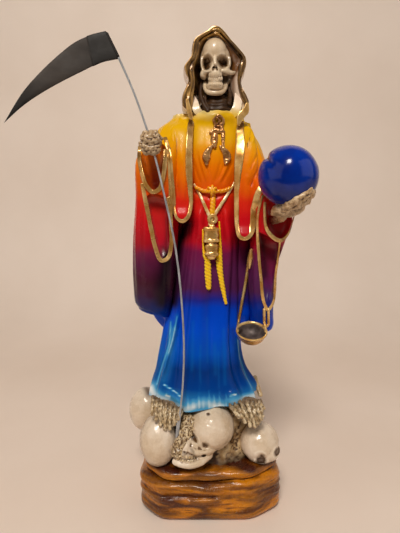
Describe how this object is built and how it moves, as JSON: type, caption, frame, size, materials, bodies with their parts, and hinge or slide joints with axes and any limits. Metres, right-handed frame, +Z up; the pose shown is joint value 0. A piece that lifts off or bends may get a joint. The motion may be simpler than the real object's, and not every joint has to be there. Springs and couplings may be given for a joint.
{
  "type": "hooded skeleton statuette",
  "caption": "Painted resin statuette of a hooded skeleton with a scythe, a ball and scales, standing on skulls on a stepped base.",
  "frame": {"origin": "centre of the base's underside", "axes": "+Z up; the figure faces -Y; +X to the viewer's right, the side of the ball"},
  "size_m": [0.1664, 0.0989, 0.2995],
  "materials": {
    "robe_paint": "glossy enamel over cast resin, banded from yellow at the shoulders to blue at the hem",
    "bone_paint": "glossy off-white with a brown wash in the hollows",
    "gold_paint": "antique gold metallic paint",
    "rope_paint": "glossy yellow",
    "ball_paint": "glossy deep blue",
    "wood_paint": "glossy orange-brown wood effect with dark streaks",
    "wire": "dull grey",
    "blade": "semi-gloss black"
  },
  "bodies": {
    "root": {"cast_figure": "robe_paint", "scythe_shaft": "wire", "scythe_blade": "blade"}
  },
  "joints": []
}
